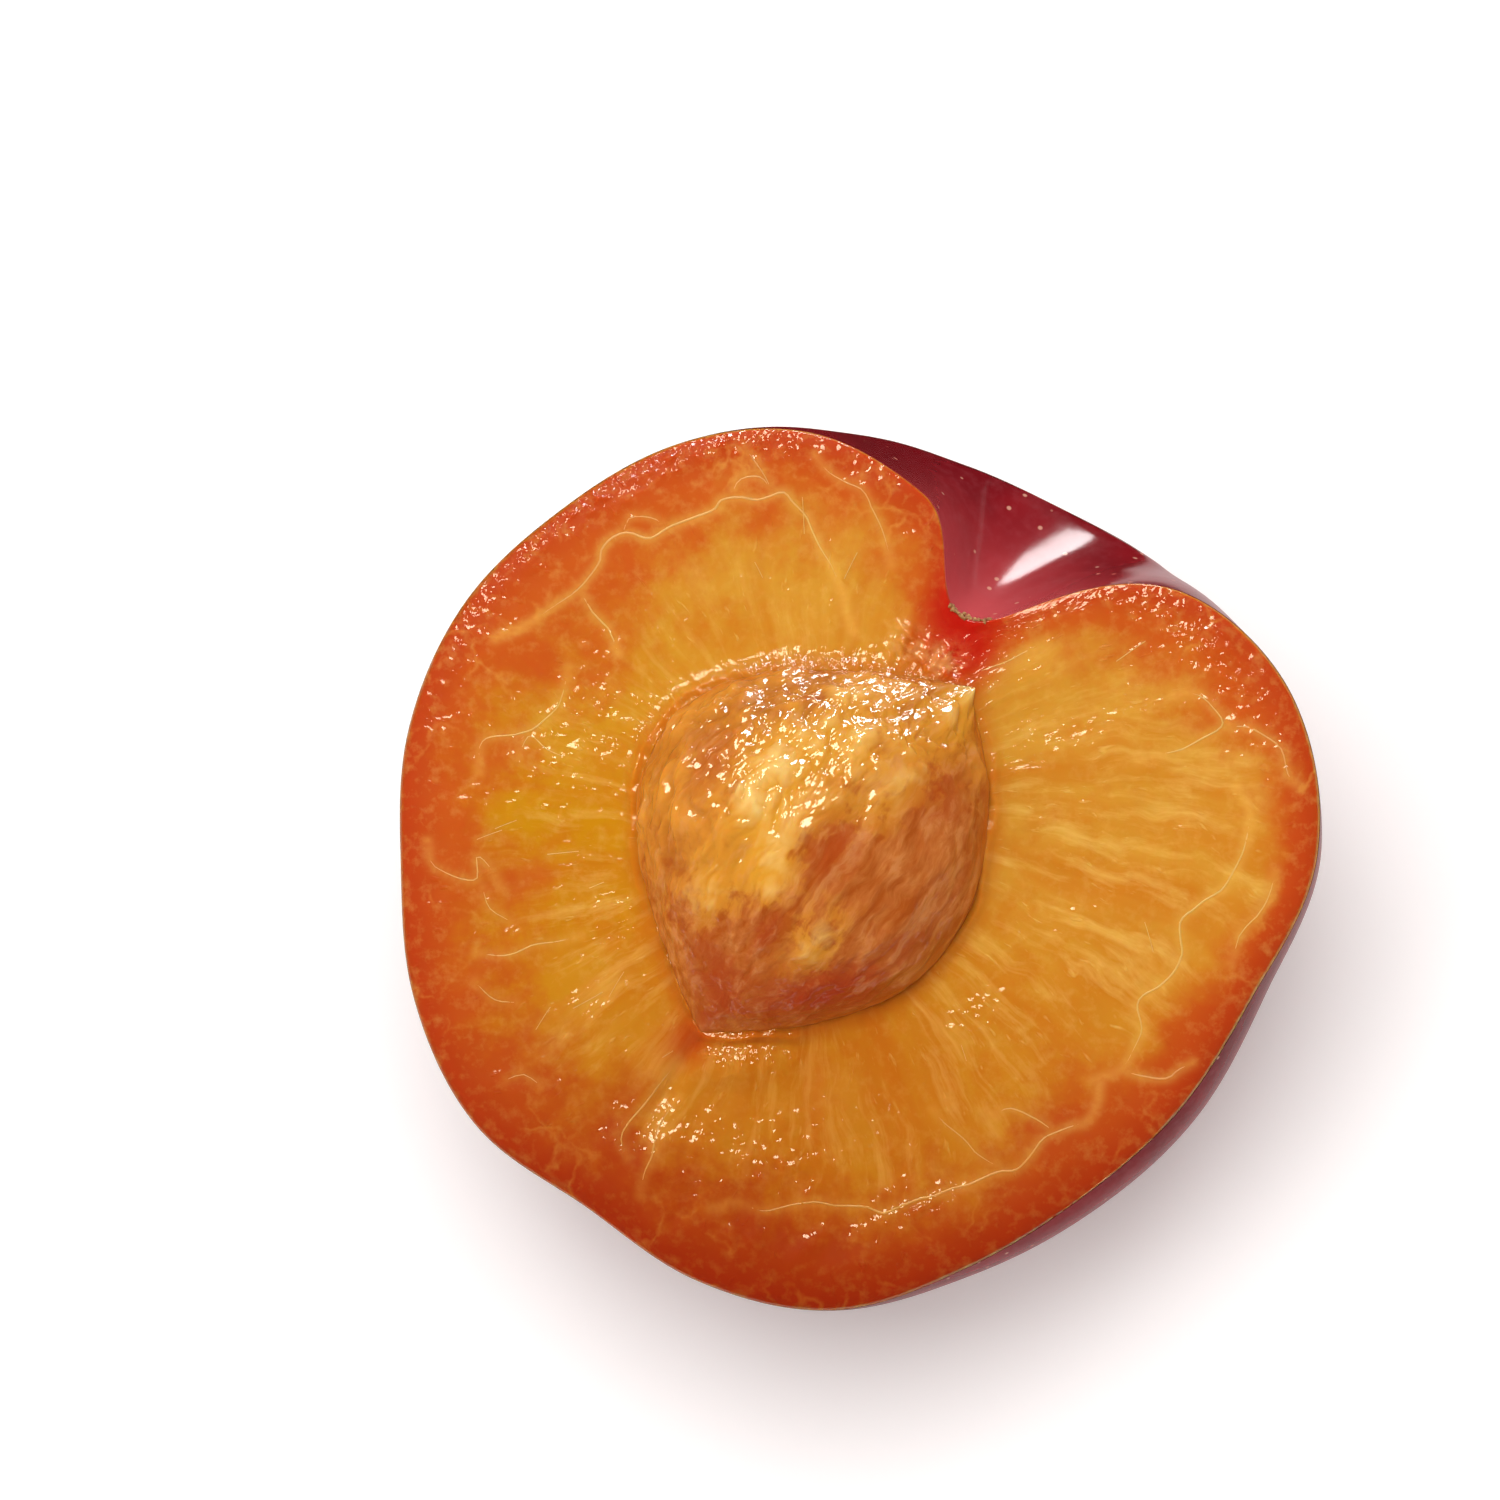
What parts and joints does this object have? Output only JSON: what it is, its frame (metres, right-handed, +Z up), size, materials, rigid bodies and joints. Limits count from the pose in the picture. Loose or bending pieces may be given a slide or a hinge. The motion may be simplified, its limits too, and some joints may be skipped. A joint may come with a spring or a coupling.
{
  "type": "plum half",
  "caption": "Half of a red plum with amber flesh and the stone left in it, lying on its rounded back with the cut face up.",
  "frame": {"origin": "on the surface it rests on, under the middle of its outline seen from above", "axes": "+Z up; the cut face looks up and leans 9 degrees towards -Y; the stem end points to +Y, turned 35 degrees towards +X"},
  "size_m": [0.0564, 0.0544, 0.0317],
  "materials": {
    "plum_flesh": "moist cut fruit flesh, amber inside and orange-red under the skin",
    "plum_skin": "smooth dark crimson fruit skin with fine pale dots and a slight bloom",
    "plum_stone": "woody stone coated in wet clinging pulp"
  },
  "bodies": {
    "root": {"plum_half": "plum_flesh", "stone": "plum_stone"}
  },
  "joints": []
}
